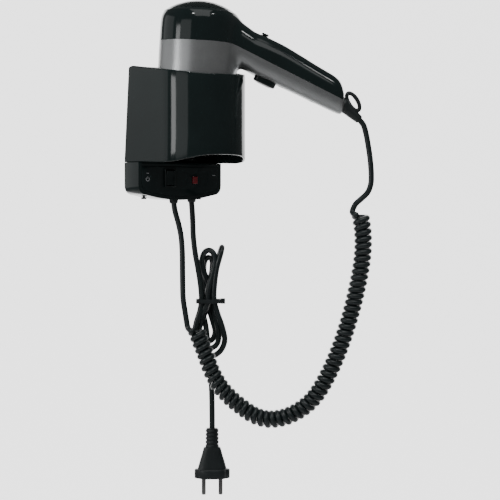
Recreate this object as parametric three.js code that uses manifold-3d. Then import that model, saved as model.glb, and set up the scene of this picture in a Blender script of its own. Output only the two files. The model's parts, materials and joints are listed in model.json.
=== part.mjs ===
// Wall-mounted hotel hair dryer: holster and switch box, a pistol dryer that lifts out of the holster,
// a curly cord between the two and a tied-up mains cord with a two-pin plug.
// Millimetres, +Z up. The origin is the middle of the wall plate's back face and the wall is the plane Y = 0,
// so the object stands out towards -Y. "Out" below means the distance from the wall, -Y.
import * as THREE from 'three';
import { mergeVertices } from 'three/addons/utils/BufferGeometryUtils.js';
import Module from 'manifold-3d';

const wasm = await Module();
wasm.setup();

// ---------------------------------------------------------------- driving dimensions
const GAP = 0.3;

// Wall unit
const HALF_WIDTH = 57.2;
const HOLSTER_CENTRE_OUT = 62;
const HOLSTER_NOSE = 49.5;
const HOLSTER_WALL = 2.5;
const RIM_AT_WALL = 75;
const RIM_SLOPE = 0.126;
const NOSE_HALF_WIDTH = 51.3;
const PLATE_THICKNESS = 3;
const BACK_WALL_OUT = 5.8;
const CASING_TOP = -33.5;
const CASING_BOTTOM = -75;
const CASING_DEPTH = 27;
const CASING_CORNER = 11;
const CHIN = 5.5;
const CRADLE_TOP = -17.4;
const CRADLE_THICKNESS = 2.4;
const CRADLE_HOLE = 19;

// Controls on the switch box
const ROCKER = { x: -15, z: -50, width: 15, height: 21, pivotOut: 26, restTilt: 7 };
const LAMP = { x: 20, z: -52.5, width: 6.5, height: 8 };
const GLAND_OUT = 17;
const CURLY_GLAND_X = -2;
const MAINS_GLAND_X = 23;
const GLAND_LENGTH = 3.8;
const CASING_SCREW_X = 38;

// Dryer: local z runs up the barrel, local x along the handle, origin on the barrel's axis at the seam
const HANG_AZIMUTH = -36;
const DRYER_TILT = 3;
const SEAM_CENTRE = [-1.6, -62.8, 97.5];
const BARREL_RADIUS = 43.2;
const BARREL_TOP = 33.4;
const BARREL_BOTTOM = -106;
const OUTLET_RADIUS = 28.4;
const NOZZLE_END = -113;
const SHELL_WALL = 2.5;
const DOME_HEIGHT = 13.2;
const HANDLE_START = 28;
const HANDLE_END = 163;
const SEAM_CORNER = 37.5;
const SEAM_SLOPE = -0.4348;
const RELIEF_START = [158.5, -55.7];
const RELIEF_ANGLE = 38.5;
const RELIEF_LENGTH = 30.5;
const BUTTON = { x: 75.5, z: -36.5, angle: 22.1, length: 23, width: 13, proud: 5 };
const KNOB = { x: 72.4, z: 12.0, angle: 19.6, length: 8, width: 10, height: 2.5 };
const SCREW_STATIONS = [100, 134];

// Cords
const LEAD_RADIUS = 3.2;
const MAINS_RADIUS = 3.1;
const CURL_RADIUS = 10.2;
const PLUG = { along: 52, away: 4, top: -333, shoulder: -354.5, flangeTop: -379, face: -389.5, pinEnd: -408.5 };
const PIN_SPACING = 19;
const PIN_RADIUS = 2.4;

const BLACK_PLASTIC = { color: 0x1c2226, roughness: 0.18, metalness: 0 };
const SILVER_PAINT = { color: 0x9a9ea0, roughness: 0.35, metalness: 0.6 };
const DARK_INSIDE = { color: 0x15181a, roughness: 0.5, metalness: 0 };
const CORD_BLACK = { color: 0x14171a, roughness: 0.4, metalness: 0 };
const STEEL = { color: 0xb8bcc0, roughness: 0.3, metalness: 1 };
const BRASS = { color: 0xc9a35c, roughness: 0.3, metalness: 1 };
const MICA = { color: 0xa89878, roughness: 0.6, metalness: 0 };
const BOARD_GREEN = { color: 0x2d5a3a, roughness: 0.6, metalness: 0 };
const RED_LENS = { color: 0xa01828, roughness: 0.2, metalness: 0 };
const PALE_PLASTIC = { color: 0xcfcab8, roughness: 0.5, metalness: 0 };

const rad = THREE.MathUtils.degToRad;

// ---------------------------------------------------------------- solids
function signedVolume(position, index) {
  const a = new THREE.Vector3();
  const b = new THREE.Vector3();
  const c = new THREE.Vector3();
  let six = 0;
  for (let i = 0; i < index.length; i += 3) {
    a.fromBufferAttribute(position, index[i]);
    b.fromBufferAttribute(position, index[i + 1]);
    c.fromBufferAttribute(position, index[i + 2]);
    six += a.dot(b.cross(c));
  }
  return six / 6;
}

// Shared vertices merged, empty triangles dropped and the faces turned outward.
function closed(geometry) {
  const bare = geometry.clone();
  bare.deleteAttribute('normal');
  bare.deleteAttribute('uv');
  const merged = mergeVertices(bare, 1e-4);
  const source = merged.index.array;
  const index = [];
  for (let i = 0; i < source.length; i += 3) {
    const [a, b, c] = [source[i], source[i + 1], source[i + 2]];
    if (a !== b && b !== c && c !== a) index.push(a, b, c);
  }
  if (signedVolume(merged.attributes.position, index) < 0) index.reverse();
  merged.setIndex(index);
  return merged;
}

function toSolid(geometry) {
  const mesh = closed(geometry);
  const vertProperties = Float32Array.from(mesh.attributes.position.array);
  const triVerts = Uint32Array.from(mesh.index.array);
  return new wasm.Manifold(new wasm.Mesh({ numProp: 3, vertProperties, triVerts }));
}

function toGeometry(solid) {
  const mesh = solid.getMesh();
  const geometry = new THREE.BufferGeometry();
  geometry.setAttribute('position', new THREE.BufferAttribute(Float32Array.from(mesh.vertProperties), 3));
  geometry.setIndex(Array.from(mesh.triVerts));
  return geometry;
}

function cut(base, ...tools) {
  return toGeometry(tools.reduce((solid, tool) => solid.subtract(toSolid(tool)), toSolid(base)));
}

function join(base, ...others) {
  return toGeometry(others.reduce((solid, other) => solid.add(toSolid(other)), toSolid(base)));
}

function common(a, b) {
  return toGeometry(toSolid(a).intersect(toSolid(b)));
}

// ---------------------------------------------------------------- basic shapes
function block(width, depth, height, x = 0, y = 0, z = 0) {
  return new THREE.BoxGeometry(width, depth, height).translate(x, y, z);
}

function upright(shape, low, high, curveSegments = 12) {
  const options = { depth: high - low, bevelEnabled: false, curveSegments };
  return new THREE.ExtrudeGeometry(shape, options).translate(0, 0, low);
}

// A shape drawn in X and Z, extruded from one distance out to another (towards -Y).
function outward(shape, near, far, curveSegments = 12) {
  return upright(shape, near, far, curveSegments).rotateX(rad(90));
}

// A side profile drawn in (out, Z), extruded across X.
function across(shape, halfWidth) {
  const basis = new THREE.Matrix4().makeBasis(
    new THREE.Vector3(0, -1, 0),
    new THREE.Vector3(0, 0, 1),
    new THREE.Vector3(-1, 0, 0),
  );
  return upright(shape, -halfWidth, halfWidth, 4).applyMatrix4(basis);
}

// A profile of [radius, height] pairs turned about Z.
function turned(profile, segments = 32) {
  const points = profile.map(([radius, height]) => new THREE.Vector2(radius, height));
  return new THREE.LatheGeometry(points, segments).rotateX(rad(90));
}

function rod(radius, low, high, segments = 16) {
  return turned([[0, low], [radius, low], [radius, high], [0, high]], segments);
}

function ring(inner, outer, low, high, segments = 32) {
  return turned([[inner, low], [outer, low], [outer, high], [inner, high], [inner, low]], segments);
}

function roundedRectangle(width, height, radius, x = 0, y = 0) {
  const [w, h] = [width / 2, height / 2];
  const shape = new THREE.Shape();
  shape.absarc(x + w - radius, y + h - radius, radius, 0, rad(90));
  shape.absarc(x - w + radius, y + h - radius, radius, rad(90), rad(180));
  shape.absarc(x - w + radius, y - h + radius, radius, rad(180), rad(270));
  shape.absarc(x + w - radius, y - h + radius, radius, rad(270), rad(360));
  return shape;
}

function polygon(points) {
  return new THREE.Shape(points.map(([x, y]) => new THREE.Vector2(x, y)));
}

// Skin between rings of points that all have the same count, with a fan over each end.
function loft(rings) {
  const count = rings[0].length;
  const positions = rings.flat();
  const index = [];
  for (let i = 0; i + 1 < rings.length; i += 1) {
    for (let j = 0; j < count; j += 1) {
      const a = i * count + j;
      const b = i * count + ((j + 1) % count);
      index.push(a, b, b + count, a, b + count, a + count);
    }
  }
  for (const [ringIndex, end] of [[0, 0], [rings.length - 1, 1]]) {
    const centre = new THREE.Vector3();
    rings[ringIndex].forEach((point) => centre.addScaledVector(point, 1 / count));
    positions.push(centre);
    for (let j = 0; j < count; j += 1) {
      const a = ringIndex * count + j;
      const b = ringIndex * count + ((j + 1) % count);
      index.push(positions.length - 1, end ? a : b, end ? b : a);
    }
  }
  const geometry = new THREE.BufferGeometry().setFromPoints(positions);
  geometry.setIndex(index);
  return geometry;
}

// A round section carried along a smooth route.
function tube(route, radius, steps, sides = 10) {
  const section = [];
  for (let i = 0; i < sides; i += 1) {
    const angle = (i / sides) * 2 * Math.PI;
    section.push([radius * Math.cos(angle), radius * Math.sin(angle)]);
  }
  const path = new THREE.CatmullRomCurve3(route.map((point) => new THREE.Vector3(...point)));
  return new THREE.ExtrudeGeometry(polygon(section), { steps, bevelEnabled: false, extrudePath: path });
}

function part(name, geometry, look) {
  const mesh = new THREE.Mesh(closed(geometry), new THREE.MeshStandardMaterial(look));
  mesh.name = name;
  return mesh;
}

// ---------------------------------------------------------------- wall unit
// The holster seen from above: straight sides and a half-oval nose.
function holsterPlan(inset, backOut) {
  const side = HALF_WIDTH - inset;
  const shape = new THREE.Shape();
  shape.moveTo(side, -backOut);
  shape.lineTo(-side, -backOut);
  shape.absellipse(0, -HOLSTER_CENTRE_OUT, side, HOLSTER_NOSE - inset, rad(180), rad(360));
  return shape;
}

// The holster from the side: a rim that falls towards the front and a lower edge that arches up at the nose.
function holsterSide() {
  const front = HOLSTER_CENTRE_OUT + HOLSTER_NOSE + 3;
  const shape = new THREE.Shape();
  shape.moveTo(0, RIM_AT_WALL - 8);
  shape.quadraticCurveTo(0, RIM_AT_WALL - 0.5, 8, RIM_AT_WALL - 8 * RIM_SLOPE);
  shape.lineTo(front, RIM_AT_WALL - front * RIM_SLOPE);
  shape.lineTo(front, -25.2);
  shape.splineThru([[105, -26.8], [94, -30.2], [80, -33.4], [62, -34.4], [33, -33.3], [0, -32.6]]
    .map(([out, z]) => new THREE.Vector2(out, z)));
  return shape;
}

// Narrows the holster towards its nose, and at the wall towards its top, where the sides end up parallel.
function taper(geometry) {
  const position = geometry.attributes.position;
  const height = RIM_AT_WALL - CASING_TOP;
  for (let i = 0; i < position.count; i += 1) {
    const rise = Math.max(0, (position.getZ(i) - CASING_TOP) / height);
    const forward = Math.min(1, -position.getY(i) / HOLSTER_CENTRE_OUT);
    const loss = Math.max(rise, forward + rise * (1 - forward)) * (HALF_WIDTH - NOSE_HALF_WIDTH);
    position.setX(i, position.getX(i) * (1 - loss / HALF_WIDTH));
  }
  return geometry;
}

function holsterShell() {
  const outer = common(upright(holsterPlan(0, 0), -40, 80, 14), across(holsterSide(), 60));
  const cavity = upright(holsterPlan(HOLSTER_WALL, BACK_WALL_OUT), -60, 90, 14);
  const inside = 2 * (HALF_WIDTH - HOLSTER_WALL);
  const plateRecess = block(inside, 2 * (PLATE_THICKNESS + GAP), 164, 0, 0, -18);
  return taper(cut(outer, cavity, plateRecess));
}

function nozzleCradle() {
  const plate = holsterPlan(HOLSTER_WALL + 1.3, BACK_WALL_OUT + GAP);
  plate.holes.push(new THREE.Path().absarc(0, -HOLSTER_CENTRE_OUT, CRADLE_HOLE, 0, rad(360)));
  return taper(upright(plate, CRADLE_TOP - CRADLE_THICKNESS, CRADLE_TOP, 12));
}

function chinAt(x) {
  const reach = HALF_WIDTH - CASING_CORNER;
  return CASING_BOTTOM + CHIN * (x / reach) ** 2;
}

// The switch box from the front: square top, round lower corners and a bowed chin.
function casingFront(inset) {
  const side = HALF_WIDTH - inset;
  const reach = HALF_WIDTH - CASING_CORNER;
  const corner = CASING_BOTTOM + CHIN + inset;
  const shape = new THREE.Shape();
  shape.moveTo(-side, CASING_TOP - inset);
  shape.lineTo(-side, corner + CASING_CORNER);
  shape.quadraticCurveTo(-side, corner + 1, -reach, corner);
  shape.quadraticCurveTo(0, corner - 2 * CHIN, reach, corner);
  shape.quadraticCurveTo(side, corner + 1, side, corner + CASING_CORNER);
  shape.lineTo(side, CASING_TOP - inset);
  return shape;
}

function rockerHole(clearance, near, far) {
  const [width, height] = [ROCKER.width - 2 + clearance, ROCKER.height - 2 + clearance];
  const outline = roundedRectangle(width, height, 1, ROCKER.x, ROCKER.z);
  return outward(outline, near, far, 3);
}

function lampBlock(clearance, near, far) {
  const outline = roundedRectangle(LAMP.width + clearance, LAMP.height + clearance, 1, LAMP.x, LAMP.z);
  return outward(outline, near, far, 3);
}

function lowerCasing() {
  const outer = outward(casingFront(0), 0, CASING_DEPTH, 6);
  const cavity = outward(casingFront(2.5), -1, CASING_DEPTH - 2.5, 6);
  const panelRecess = outward(casingFront(4), CASING_DEPTH - 1.6, CASING_DEPTH + 1, 6);
  const glandHoles = [CURLY_GLAND_X, MAINS_GLAND_X]
    .map((x) => rod(5.5, -85, chinAt(x) + 6, 20).translate(x, -GLAND_OUT, 0));
  const screwHoles = [-CASING_SCREW_X, CASING_SCREW_X]
    .map((x) => rod(1.8, -85, chinAt(x) + 6, 10).translate(x, -10, 0));
  const frontHoles = [rockerHole(0.6, 15, 30), lampBlock(0.6, 15, 30)];
  const plateNotch = block(98, 2 * (PLATE_THICKNESS + GAP), 10, 0, 0, CASING_TOP - 2);
  return cut(outer, cavity, panelRecess, plateNotch, ...glandHoles, ...screwHoles, ...frontHoles);
}

function frontPanel() {
  const plate = outward(casingFront(4.3), CASING_DEPTH - 1.3, CASING_DEPTH + 0.3, 6);
  return cut(plate, rockerHole(0.6, 15, 30), lampBlock(0.6, 15, 30));
}

function wallPlate() {
  const plate = block(97, PLATE_THICKNESS, 128, 0, -PLATE_THICKNESS / 2, -1);
  const lugs = [-CASING_SCREW_X, CASING_SCREW_X].map((x) => block(12, 14, 4, x, -8, -62));
  const wallHoles = [];
  for (const x of [-30, 30]) {
    for (const z of [-10, 50]) wallHoles.push(rod(2.6, -10, 10, 12).rotateX(rad(90)).translate(x, 0, z));
  }
  const screwHoles = [-CASING_SCREW_X, CASING_SCREW_X].map((x) => rod(1.7, -70, -55, 10).translate(x, -10, 0));
  return cut(join(plate, ...lugs), ...wallHoles, ...screwHoles);
}

function casingScrew(x) {
  const under = chinAt(x) - 0.8;
  const shank = rod(1.4, under - 1, -59, 8);
  const head = rod(3, under - 2, under, 12);
  return join(head, shank).translate(x, -10, 0);
}

function rockerFrame() {
  const bezel = outward(
    roundedRectangle(ROCKER.width, ROCKER.height, 1.5, ROCKER.x, ROCKER.z),
    CASING_DEPTH + 0.6,
    CASING_DEPTH + 2.2,
    3,
  );
  const well = block(11.4, 16, 18.4, ROCKER.x, -(18 + 8 + 0.5), ROCKER.z);
  return cut(join(bezel, rockerHole(0, 9, CASING_DEPTH + 1)), well);
}

// The rocker's section, drawn in (out, Z) about its pivot: two flats in a shallow V and a round back.
function rockerButton() {
  const shape = new THREE.Shape();
  shape.moveTo(3.6, -8.0);
  shape.lineTo(2.2, 0);
  shape.lineTo(3.6, 8.0);
  shape.lineTo(-1, 8.0);
  shape.quadraticCurveTo(-6, 4, -6, 0);
  shape.quadraticCurveTo(-6, -4, -1, -8.0);
  return across(shape, 5.3).rotateX(rad(ROCKER.restTilt));
}

function gland(x) {
  const base = chinAt(x);
  const profile = [[0, -GLAND_LENGTH], [4.3, -GLAND_LENGTH], [5.1, -0.4], [5.1, 4.4], [7, 4.4], [7, 7], [0, 7]];
  return turned(profile, 20).translate(x, -GLAND_OUT, base);
}

function wallUnit() {
  const unit = new THREE.Group();
  unit.add(part('wall_plate', wallPlate(), STEEL));
  unit.add(part('holster_shell', holsterShell(), BLACK_PLASTIC));
  unit.add(part('nozzle_cradle', nozzleCradle(), DARK_INSIDE));
  unit.add(part('lower_casing', lowerCasing(), BLACK_PLASTIC));
  unit.add(part('front_panel', frontPanel(), BLACK_PLASTIC));
  unit.add(part('rocker_frame', rockerFrame(), BLACK_PLASTIC));
  const rocker = part('rocker_button', rockerButton(), BLACK_PLASTIC);
  rocker.position.set(ROCKER.x, -ROCKER.pivotOut, ROCKER.z);
  unit.add(rocker);
  unit.add(part('indicator_lens', lampBlock(0, 20, CASING_DEPTH + 1.6), RED_LENS));
  const lamp = rod(2.4, 9, 19, 12).rotateX(rad(90)).translate(LAMP.x, 0, LAMP.z);
  unit.add(part('indicator_lamp', lamp, PALE_PLASTIC));
  unit.add(part('terminal_block', block(22, 12, 10, -35, -9.5, -45), PALE_PLASTIC));
  unit.add(part('curly_gland', gland(CURLY_GLAND_X), CORD_BLACK));
  unit.add(part('mains_gland', gland(MAINS_GLAND_X), CORD_BLACK));
  unit.add(part('curly_cord_clamp', block(7, 11, 4, CURLY_GLAND_X, -GLAND_OUT + 3, -64), PALE_PLASTIC));
  unit.add(part('mains_cord_clamp', block(14, 11, 4, MAINS_GLAND_X, -GLAND_OUT + 3, -62.4), PALE_PLASTIC));
  unit.add(part('casing_screw_left', casingScrew(-CASING_SCREW_X), STEEL));
  unit.add(part('casing_screw_right', casingScrew(CASING_SCREW_X), STEEL));
  return unit;
}

// ---------------------------------------------------------------- dryer shells
function barrel(inset) {
  const overrun = inset > 0 ? 1 : 0;
  const bottom = BARREL_BOTTOM - overrun;
  const top = BARREL_TOP + overrun;
  return turned([
    [0, bottom], [OUTLET_RADIUS - inset, bottom], [36 - inset, -80], [BARREL_RADIUS - inset, -55],
    [BARREL_RADIUS - inset, 0], [BARREL_RADIUS - 0.3 - inset, 20], [BARREL_RADIUS - 1 - inset, 28],
    [BARREL_RADIUS - 3.2 - inset, top], [0, top],
  ], 36);
}

// Handle outline at a few stations: [x, top, underside, width].
const HANDLE_STATIONS = [
  [HANDLE_START, 29, -25, 40],
  [41, 29, -25, 40],
  [44.6, 27.2, -25, 39.5],
  [48, 24.6, -25.4, 39],
  [54.4, 20.4, -28, 38],
  [61, 15.9, -31.4, 37.4],
  [77, 10.2, -37.1, 35.5],
  [95, 2.6, -44.4, 34],
  [113, -6.9, -51.7, 33],
  [133, -17.9, -59.9, 32],
  [150.5, -26.8, -67, 31],
  [157, -31.4, -69.3, 30],
  [160.5, -36.4, -70, 28],
  [HANDLE_END, -43, -70, 25],
];

function handleRing([x, top, underside, width], inset) {
  const points = [];
  const sides = 20;
  const middle = (top + underside) / 2;
  const halfHeight = (top - underside) / 2 - inset;
  const halfWidth = width / 2 - inset;
  for (let i = 0; i < sides; i += 1) {
    const angle = (i / sides) * 2 * Math.PI;
    const [c, s] = [Math.cos(angle), Math.sin(angle)];
    const squareness = (Math.abs(c) ** 2.5 + Math.abs(s) ** 2.5) ** (-1 / 2.5);
    points.push(new THREE.Vector3(x, halfWidth * squareness * c, middle + halfHeight * squareness * s));
  }
  return points;
}

function handle(inset) {
  const stations = HANDLE_STATIONS.filter(([x]) => inset === 0 || x < HANDLE_END - 2 * inset);
  return loft(stations.map((station) => handleRing(station, inset)));
}

// Everything below the line where the black and silver shells meet.
function belowSeam(drop) {
  const start = SEAM_CORNER - 6;
  const after = SEAM_CORNER + 6;
  const shape = new THREE.Shape();
  shape.moveTo(-60, -drop);
  shape.lineTo(start, -drop);
  shape.quadraticCurveTo(SEAM_CORNER, -drop, after, 6 * SEAM_SLOPE - drop);
  shape.lineTo(180, (180 - SEAM_CORNER) * SEAM_SLOPE - drop);
  shape.lineTo(180, -150);
  shape.lineTo(-60, -150);
  return outward(shape, -60, 60, 6);
}

// A piece set in the handle: z is square to the handle's own line at that station.
function onHandle(geometry, x, z, angle) {
  return geometry.rotateY(rad(angle)).translate(x, 0, z);
}

function seamAt(x) {
  return (x - SEAM_CORNER) * SEAM_SLOPE;
}

function reliefFrame(geometry) {
  return geometry.rotateY(rad(90 + RELIEF_ANGLE)).translate(RELIEF_START[0], 0, RELIEF_START[1]);
}

const HANDLE_LEAN = 24.5;

function dryerShells() {
  const outer = join(barrel(0), handle(0));
  const hollow = join(barrel(SHELL_WALL), handle(SHELL_WALL));
  const skin = cut(outer, hollow, reliefFrame(rod(8.6, -14, 14, 16)));
  const posts = (radius, low, high) => SCREW_STATIONS
    .map((x) => onHandle(rod(radius, low, high, 12), x, seamAt(x), HANDLE_LEAN));

  const knobSlot = onHandle(block(13, 4.6, 20), KNOB.x, KNOB.z, KNOB.angle);
  const rearPosts = posts(4, 0.6, 60).map((post) => common(post, outer));
  const rear = cut(join(cut(skin, belowSeam(0)), ...rearPosts), knobSlot, ...posts(1.7, -1, 10));

  const buttonSlot = onHandle(
    upright(roundedRectangle(BUTTON.length + 0.8, BUTTON.width + 0.8, 6), -12, 12, 5),
    BUTTON.x,
    BUTTON.z,
    BUTTON.angle,
  );
  const frontPosts = posts(4.6, -60, -0.6).map((post) => common(post, outer));
  const frontSkin = join(common(skin, belowSeam(GAP)), ...frontPosts);
  const front = cut(frontSkin, buttonSlot, ...posts(1.8, -60, 1), ...posts(3.3, -60, -6));
  return [rear, front];
}

function handleScrew(x) {
  const screw = join(rod(2.9, -8.2, -6.3, 12), rod(1.4, -7, 8.5, 8));
  return onHandle(screw, x, seamAt(x), HANDLE_LEAN);
}

// A shallow perforated dome over the air intake.
function intakeGrille() {
  const base = BARREL_TOP + GAP;
  const radius = BARREL_RADIUS - 3.6;
  const sphere = (radius ** 2 + DOME_HEIGHT ** 2) / (2 * DOME_HEIGHT);
  const arc = (scale, lift) => {
    const points = [];
    for (let i = 0; i <= 4; i += 1) {
      const r = radius * scale * (1 - i / 4);
      points.push([r, base + lift + Math.sqrt(sphere ** 2 - r ** 2) - (sphere - DOME_HEIGHT)]);
    }
    return points;
  };
  const outside = arc(1, 0);
  outside[0][1] = base + 1.5;
  const inside = arc(0.93, -2).reverse();
  const profile = [[radius * 0.93, base], [radius, base], ...outside, ...inside, [radius * 0.93, base]];
  const holes = [];
  for (const [count, distance] of [[4, 8], [8, 20]]) {
    for (let i = 0; i < count; i += 1) {
      const angle = (i / count) * 2 * Math.PI;
      const x = distance * Math.cos(angle);
      holes.push(rod(1.8, base, base + 20, 6).translate(x, distance * Math.sin(angle), 0));
    }
  }
  return cut(turned(profile, 28), ...holes);
}

// ---------------------------------------------------------------- dryer inside
function fanImpeller() {
  const hub = rod(12, 6, 24, 20);
  const blades = [];
  for (let i = 0; i < 7; i += 1) {
    const blade = block(22, 1.4, 15).rotateX(rad(38)).translate(22, 0, 15);
    blades.push(blade.rotateZ((i / 7) * 2 * Math.PI));
  }
  return cut(join(hub, ...blades), rod(1.5, 0, 22.5, 10));
}

function fanDuct() {
  const motorSleeve = ring(12.9, 14.4, -22, -8, 18);
  const vanes = [];
  for (let i = 0; i < 3; i += 1) {
    vanes.push(block(21, 1.6, 12, 24.2, 0, -15).rotateZ((i / 3) * 2 * Math.PI));
  }
  return join(ring(34.2, 36, -22, 26, 28), motorSleeve, ...vanes);
}

function micaCross() {
  return join(block(47, 0.8, 62, 0, 0, -66), block(0.8, 47, 62, 0, 0, -66));
}

function heatingCoil(z) {
  const section = [];
  for (let i = 0; i <= 5; i += 1) {
    const angle = (i / 5) * 2 * Math.PI;
    section.push([26 + 1.5 * Math.cos(angle), z + 1.5 * Math.sin(angle)]);
  }
  return turned(section, 16);
}

function outletGrille() {
  const bars = [-10, 0, 10].map((y) => block(46 - Math.abs(y) * 0.6, 1.4, 2, 0, y, -102));
  const spine = block(1.8, 46.4, 1.4, 0.2, 0, -102);
  return join(ring(22, 24.6, -103.5, -100.5, 20), ...bars, spine);
}

// The rubber cord sleeve with its hanging ring moulded on.
function strainRelief() {
  const sleeve = reliefFrame(turned([
    [0, -6], [7.6, -6], [7.6, 4], [8.2, 6], [6.2, 18], [4.6, RELIEF_LENGTH], [0, RELIEF_LENGTH],
  ], 14));
  const loop = new THREE.Shape().absellipse(0, 0, 13.2, 7, 0, rad(360));
  loop.holes.push(new THREE.Path().absellipse(0, 0, 8.4, 2.8, 0, rad(360)));
  const hangingRing = outward(loop, -2.4, 2.4, 6).rotateY(rad(55)).translate(174, 0, -55);
  return join(sleeve, hangingRing);
}

function pressButton() {
  const outline = roundedRectangle(BUTTON.length, BUTTON.width, 5.6);
  return onHandle(upright(outline, -BUTTON.proud, 6, 5), BUTTON.x, BUTTON.z, BUTTON.angle);
}

function slideKnob() {
  const cap = upright(roundedRectangle(KNOB.length, KNOB.width, 2), 0.5, KNOB.height, 3);
  const stem = block(5, 3.8, 8, 0, 0, -3);
  return onHandle(join(cap, stem), KNOB.x, KNOB.z, KNOB.angle);
}

function dryer() {
  const dryerGroup = new THREE.Group();
  dryerGroup.position.set(...SEAM_CENTRE);
  dryerGroup.rotation.set(0, rad(DRYER_TILT), rad(HANG_AZIMUTH), 'ZYX');
  const add = (name, geometry, look) => dryerGroup.add(part(name, geometry, look));
  const [rear, front] = dryerShells();
  add('rear_shell', rear, BLACK_PLASTIC);
  add('front_shell', front, SILVER_PAINT);
  add('intake_grille', intakeGrille(), BLACK_PLASTIC);
  add('fan_impeller', fanImpeller(), DARK_INSIDE);
  add('motor_shaft', rod(1.2, 2.4, 22, 10), STEEL);
  add('fan_duct', fanDuct(), DARK_INSIDE);
  add('motor_can', rod(12.5, -28, 2, 24), STEEL);
  add('motor_board', rod(11, -30.6, -28.4, 20), BOARD_GREEN);
  add('mica_cross', micaCross(), MICA);
  add('mica_tube', ring(28.6, 29.4, -90, -32, 24), MICA);
  [-44, -62, -80].forEach((z, i) => add(`heating_coil_${i + 1}`, heatingCoil(z), STEEL));
  add('thermostat', block(10, 7, 6, 9, 8, -42), PALE_PLASTIC);
  add('thermal_fuse', rod(1.9, -60, -48, 8).translate(-8, -8, 0), STEEL);
  add('outlet_grille', outletGrille(), STEEL);
  add('nozzle_ring', ring(24, 28.2, NOZZLE_END, BARREL_BOTTOM - GAP, 28), BLACK_PLASTIC);
  add('press_button', pressButton(), BLACK_PLASTIC);
  add('press_switch_body', onHandle(block(18, 10, 8, 0, 0, 14), BUTTON.x, BUTTON.z, BUTTON.angle), DARK_INSIDE);
  add('slide_knob', slideKnob(), BLACK_PLASTIC);
  add('slide_switch_body', onHandle(block(16, 8, 6, 0, 0, -10.6), KNOB.x, KNOB.z, KNOB.angle), DARK_INSIDE);
  add('handle_board', onHandle(block(20, 14, 1.5), 117, -38, HANDLE_LEAN), BOARD_GREEN);
  add('handle_cord_clamp', onHandle(block(5, 16, 10), 145, -50, HANDLE_LEAN), PALE_PLASTIC);
  SCREW_STATIONS.forEach((x, i) => add(`handle_screw_${i + 1}`, handleScrew(x), STEEL));
  add('strain_relief', strainRelief(), CORD_BLACK);
  return dryerGroup;
}

// ---------------------------------------------------------------- cords
// Points are [along the handle's direction, away from it, height] about the wall unit's middle, with the
// first two turned to the handle's azimuth.
const HANDLE_LEAD_ROUTE = [
  [214.4, -51.7, 12.7], [217.8, -51.7, 8.2], [220, -51.7, 0], [222.6, -51.7, -16], [224.7, -51.7, -32],
  [225.6, -51.7, -47], [224.8, -51.7, -58], [221.2, -51.7, -67], [214.6, -51.6, -74], [208.6, -51.4, -80],
  [206, -51.2, -86], [205.8, -51.2, -91],
];
const CURL_ROUTE = [
  [214.6, -51.7, -91.6], [217.2, -52.2, -110], [217.3, -52.2, -131], [214.8, -51.7, -152], [209.2, -50.7, -180],
  [202.3, -49.5, -208], [193.5, -48, -237], [182.5, -46, -265], [168, -43.5, -290], [156, -41.4, -302],
  [142, -38.9, -310.5], [127.5, -36.4, -315.5], [113, -34, -317], [98.5, -31.5, -313.5], [84.5, -29, -305],
  [71, -26.7, -295], [59.3, -24.6, -282], [49.6, -23, -265], [42, -21.7, -245], [34.5, -20.4, -229],
];
const BASE_LEAD_ROUTE = [
  [8.4, -14.9, -79.2], [9.4, -15.1, -88], [13, -15.6, -100], [16.6, -16.1, -114], [18.5, -16.6, -130],
  [19.2, -17.2, -148], [19.4, -18, -168], [20, -18.8, -186], [21.4, -19.3, -202], [23.6, -19.8, -216],
  [26.2, -20.3, -229],
];
const MAINS_UPPER_ROUTE = [
  [28.6, -0.2, -77.7], [29, -0.2, -88], [29.8, 0, -100], [31, 0.6, -116], [33, 1.8, -134], [37, 3, -150],
  [42, 4, -160],
];
const MAINS_LOWER_ROUTE = [
  [48, 4, -246], [49.4, 4, -260], [50.8, 4, -276], [51.6, 4, -294], [51.9, 4, -314], [52, 4, PLUG.top + GAP],
];

// The tied hank from the front: a slim upper lobe, a waist at the tie and a wider lower lobe.
function hankOutline() {
  const shape = new THREE.Shape();
  shape.moveTo(48, -126);
  shape.bezierCurveTo(62, -126, 60, -160, 60, -189);
  shape.bezierCurveTo(60, -206, 70.5, -214, 70.5, -232);
  shape.bezierCurveTo(70.5, -247, 60, -254, 48, -254);
  shape.bezierCurveTo(36, -254, 26.5, -247, 26.5, -232);
  shape.bezierCurveTo(26.5, -214, 36, -206, 36, -189);
  shape.bezierCurveTo(36, -160, 34, -126, 48, -126);
  return shape;
}

function hank(growth) {
  return outward(hankOutline(), -13 - growth, 5 + growth, 8);
}

// A flat band round the waist, with its knot at one side.
function hankTie() {
  const band = roundedRectangle(28.6, 22.6, 2, 48, 4);
  band.holes.push(roundedRectangle(25.8, 19.4, 0.6, 48, 4));
  return join(upright(band, -191.5, -187, 2), block(5, 7, 6, 64, 1, -189));
}

// Plug sections are rounded rectangles laid level at each height.
function plugRing(width, depth, z) {
  const shape = roundedRectangle(width, depth, Math.min(width, depth) / 2 - 0.5, PLUG.along, PLUG.away);
  return shape.getSpacedPoints(20).slice(0, 20).map((point) => new THREE.Vector3(point.x, point.y, z));
}

function plugBody() {
  const bodySections = [
    [16.6, 13.6, PLUG.shoulder - GAP], [23, 15.5, -364], [30, 18, -377.5], [31, 19, PLUG.flangeTop],
  ];
  const body = loft(bodySections.map(([width, depth, z]) => plugRing(width, depth, z)));
  const flange = loft([[38.5, 26, PLUG.flangeTop - 0.5], [40, 27, PLUG.flangeTop - 2], [40, 27, PLUG.face]]
    .map(([width, depth, z]) => plugRing(width, depth, z)));
  const neck = loft([PLUG.flangeTop + 1, PLUG.flangeTop - 2].map((z) => plugRing(30, 18, z)));
  return join(body, flange, neck);
}

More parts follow.
